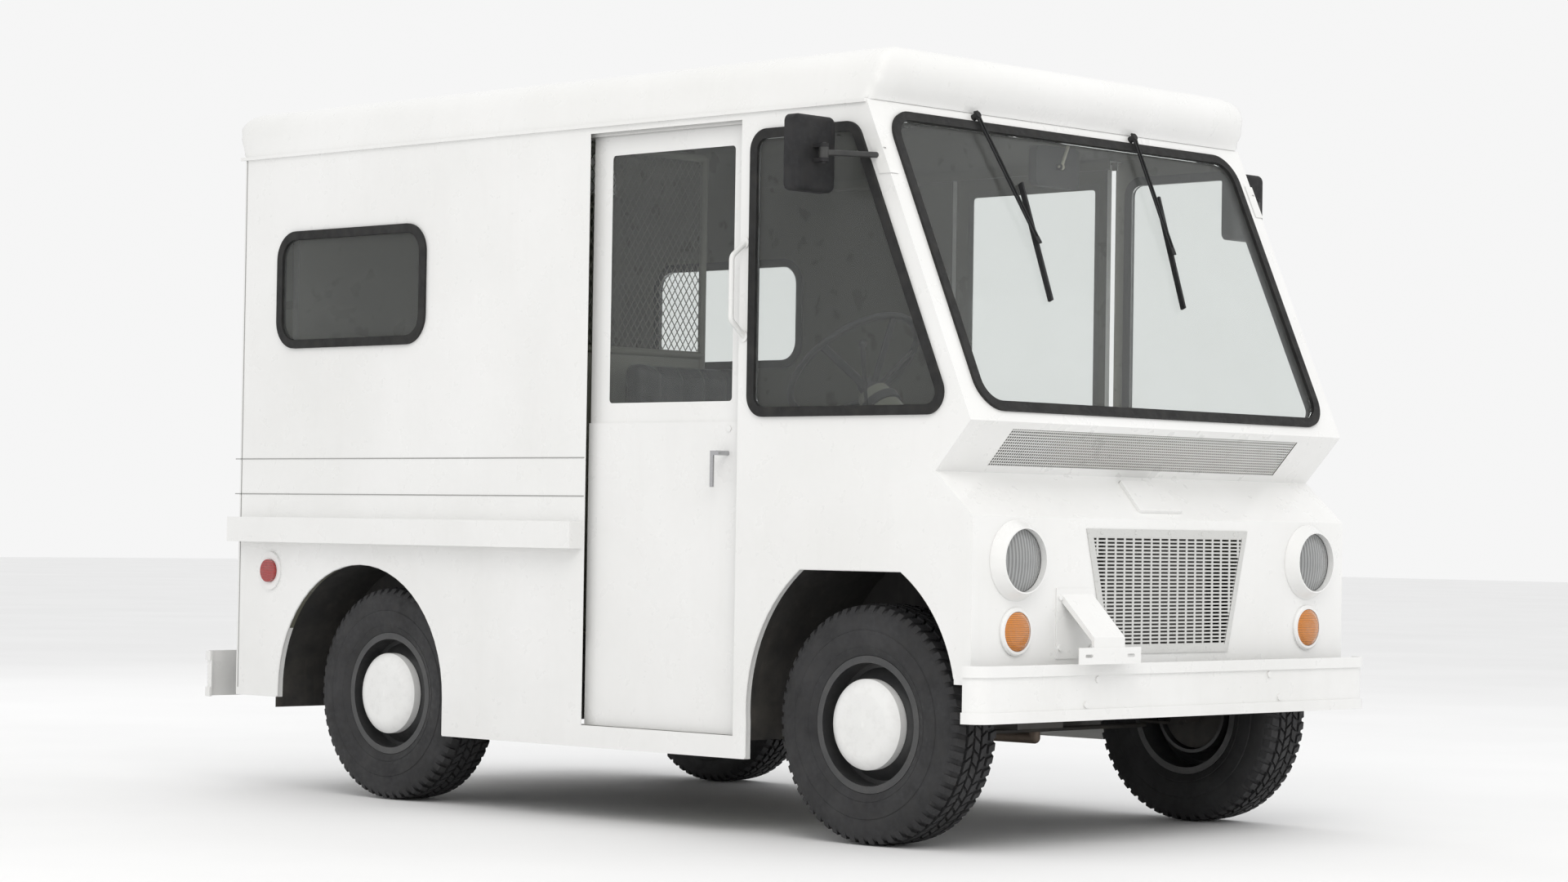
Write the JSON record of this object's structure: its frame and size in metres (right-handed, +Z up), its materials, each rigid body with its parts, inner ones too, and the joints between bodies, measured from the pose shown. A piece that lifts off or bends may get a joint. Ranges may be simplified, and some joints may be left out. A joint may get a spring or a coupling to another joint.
{
  "type": "mail delivery truck",
  "caption": "Boxy forward-control mail delivery truck with sliding side doors, rear doors, steered front wheels and a slatted front grille.",
  "frame": {"origin": "bottom centre of the object's box, on the ground under the middle of its length", "axes": "+Y points to the rear doors, +X to the truck's left, +Z up; the length lies along Y"},
  "size_m": [2.165, 3.459, 2.2379],
  "materials": {
    "body_paint": "gloss white enamel",
    "bumper_paint": "white enamel, worn",
    "interior_paint": "olive grey enamel",
    "door_glass": "clear safety glass",
    "seal_rubber": "black extruded rubber",
    "tyre_rubber": "dark worn rubber",
    "rim_paint": "dark grey enamel with white hub cap",
    "chassis_black": "black chassis paint",
    "cast_iron": "cast and machined",
    "exhaust_steel": "dull steel",
    "chrome": "bright plate",
    "lamp_glass": "fluted lens over a reflector",
    "amber_plastic": "amber lens",
    "red_plastic": "red lens",
    "grille_metal": "satin slotted sheet",
    "mesh_metal": "perforated sheet",
    "black_plastic": "satin black",
    "seat_vinyl": "black vinyl",
    "partition_mesh": "olive frame and wire mesh"
  },
  "bodies": {
    "body": {"chassis_frame": "chassis_black", "cowl_mesh": "mesh_metal", "dash_panel": "interior_paint", "engine": "cast_iron", "engine_cover": "interior_paint", "exhaust": "exhaust_steel", "floor_pan": "interior_paint", "front_axle": "chassis_black", "front_bumper": "bumper_paint", "front_shell": "body_paint", "grab_handles": "body_paint", "grille": "grille_metal", "headlamps": "lamp_glass", "lamp_bezels": "body_paint", "mirror_brackets": "black_plastic", "partition": "partition_mesh", "plate_bracket": "body_paint", "rear_axle": "chassis_black", "rear_bumper": "bumper_paint", "rear_wall": "body_paint", "red_lenses": "red_plastic", "roof": "body_paint", "side_glass": "door_glass", "side_panel_left": "body_paint", "side_panel_right": "body_paint", "side_rails": "body_paint", "steering_column": "interior_paint", "turn_lenses": "amber_plastic", "wheel_housings": "chassis_black", "window_seals": "seal_rubber", "windscreen": "door_glass"},
    "door_right": {"door_right": "body_paint", "door_glass_right": "door_glass"},
    "door_left": {"door_left": "body_paint", "door_glass_left": "door_glass"},
    "handle_right": {"door_handle_right": "chrome"},
    "handle_left": {"door_handle_left": "chrome"},
    "rear_door_right": {"rear_door_right": "body_paint"},
    "rear_door_left": {"rear_door_left": "body_paint"},
    "knuckle_right": {"knuckle_right": "chassis_black"},
    "knuckle_left": {"knuckle_left": "chassis_black"},
    "tie_rod": {"tie_rod": "chassis_black"},
    "steering_wheel": {"steering_wheel": "black_plastic"},
    "gear_lever": {"gear_lever": "black_plastic"},
    "wheel_front_right": {"wheel_front_right": "rim_paint", "tyre_front_right": "tyre_rubber"},
    "wheel_front_left": {"wheel_front_left": "rim_paint", "tyre_front_left": "tyre_rubber"},
    "wheel_rear_right": {"wheel_rear_right": "rim_paint", "tyre_rear_right": "tyre_rubber"},
    "wheel_rear_left": {"wheel_rear_left": "rim_paint", "tyre_rear_left": "tyre_rubber"},
    "propeller_shaft": {"propeller_shaft": "chassis_black"},
    "wiper_right": {"wiper_right": "black_plastic"},
    "wiper_left": {"wiper_left": "black_plastic"},
    "mirror_right": {"mirror_right": "black_plastic"},
    "mirror_left": {"mirror_left": "black_plastic"},
    "inside_mirror": {"inside_mirror": "black_plastic"},
    "driver_seat": {"driver_seat": "seat_vinyl"},
    "brake_pedal": {"brake_pedal": "chassis_black"}
  },
  "joints": [
    {"name": "door_right_slide", "type": "slide", "parent": "body", "child": "door_right", "axis": [0, 1, 0], "range_m": [0, 0.52]},
    {"name": "door_left_slide", "type": "slide", "parent": "body", "child": "door_left", "axis": [0, 1, 0], "range_m": [0, 0.52]},
    {"name": "handle_right_turn", "type": "hinge", "parent": "door_right", "child": "handle_right", "pos_m": [-0.834, -0.6485, 1.094], "axis": [1, 0, 0], "range_deg": [0, 60]},
    {"name": "handle_left_turn", "type": "hinge", "parent": "door_left", "child": "handle_left", "pos_m": [0.834, -0.6485, 1.094], "axis": [1, 0, 0], "range_deg": [0, 60]},
    {"name": "rear_door_right_hinge", "type": "hinge", "parent": "body", "child": "rear_door_right", "pos_m": [-0.654, 1.6035, 1.275], "axis": [0, 0, 1], "range_deg": [0, 110]},
    {"name": "rear_door_left_hinge", "type": "hinge", "parent": "body", "child": "rear_door_left", "pos_m": [0.654, 1.6035, 1.275], "axis": [0, 0, -1], "range_deg": [0, 110]},
    {"name": "steer_right", "type": "hinge", "parent": "body", "child": "knuckle_right", "pos_m": [-0.638, -1.1825, 0.35], "axis": [0, 0, 1], "range_deg": [-26, 26]},
    {"name": "steer_left", "type": "hinge", "parent": "body", "child": "knuckle_left", "pos_m": [0.638, -1.1825, 0.35], "axis": [0, 0, 1], "range_deg": [-26, 26]},
    {"name": "tie_rod_shift", "type": "slide", "parent": "body", "child": "tie_rod", "axis": [1, 0, 0], "range_m": [-0.066, 0.066]},
    {"name": "steering_wheel_turn", "type": "hinge", "parent": "body", "child": "steering_wheel", "pos_m": [-0.42, -0.8215, 1.294], "axis": [0, 0.6691, 0.7431], "range_deg": [-420, 420]},
    {"name": "wheel_front_right_spin", "type": "hinge", "parent": "knuckle_right", "child": "wheel_front_right", "pos_m": [-0.722, -1.1825, 0.337], "axis": [1, 0, 0], "continuous": true},
    {"name": "wheel_front_left_spin", "type": "hinge", "parent": "knuckle_left", "child": "wheel_front_left", "pos_m": [0.722, -1.1825, 0.337], "axis": [1, 0, 0], "continuous": true},
    {"name": "wheel_rear_right_spin", "type": "hinge", "parent": "body", "child": "wheel_rear_right", "pos_m": [-0.722, 0.8745, 0.337], "axis": [1, 0, 0], "continuous": true},
    {"name": "wheel_rear_left_spin", "type": "hinge", "parent": "body", "child": "wheel_rear_left", "pos_m": [0.722, 0.8745, 0.337], "axis": [1, 0, 0], "continuous": true},
    {"name": "propeller_spin", "type": "hinge", "parent": "body", "child": "propeller_shaft", "pos_m": [0, 0, 0.337], "axis": [0, 1, 0], "continuous": true},
    {"name": "gear_shift", "type": "hinge", "parent": "body", "child": "gear_lever", "pos_m": [-0.42, -0.8215, 1.294], "axis": [0, 0.6691, 0.7431], "range_deg": [-10, 10]},
    {"name": "wiper_right_sweep", "type": "hinge", "parent": "body", "child": "wiper_right", "pos_m": [-0.412, -1.20073, 2.066], "axis": [0, -0.9136, 0.4065], "range_deg": [-40, 22]},
    {"name": "wiper_left_sweep", "type": "hinge", "parent": "body", "child": "wiper_left", "pos_m": [0.312, -1.20073, 2.066], "axis": [0, -0.9136, 0.4065], "range_deg": [-36, 36]},
    {"name": "mirror_right_turn", "type": "hinge", "parent": "body", "child": "mirror_right", "pos_m": [-1, -1.1655, 1.918], "axis": [0, 0, 1], "range_deg": [-30, 30]},
    {"name": "mirror_left_turn", "type": "hinge", "parent": "body", "child": "mirror_left", "pos_m": [1, -1.1655, 1.918], "axis": [0, 0, 1], "range_deg": [-30, 30]},
    {"name": "inside_mirror_tilt", "type": "hinge", "parent": "body", "child": "inside_mirror", "pos_m": [0.045, -1.1535, 1.965], "axis": [1, 0, 0], "range_deg": [-15, 15]},
    {"name": "seat_slide", "type": "slide", "parent": "body", "child": "driver_seat", "axis": [0, 1, 0], "range_m": [-0.08, 0.03]},
    {"name": "brake_press", "type": "hinge", "parent": "body", "child": "brake_pedal", "pos_m": [-0.33, -1.4555, 0.524], "axis": [1, 0, 0], "range_deg": [0, 20], "stiffness_Nm_per_rad": 20, "springref_deg": -17.19}
  ],
  "couplings": [
    {"joint": "steer_left", "follows": "steer_right", "ratio": 1},
    {"joint": "tie_rod_shift", "follows": "steer_right", "m_per_rad": -0.14},
    {"joint": "steering_wheel_turn", "follows": "steer_right", "ratio": 16},
    {"joint": "propeller_spin", "follows": "wheel_rear_right_spin", "ratio": 4.27}
  ]
}
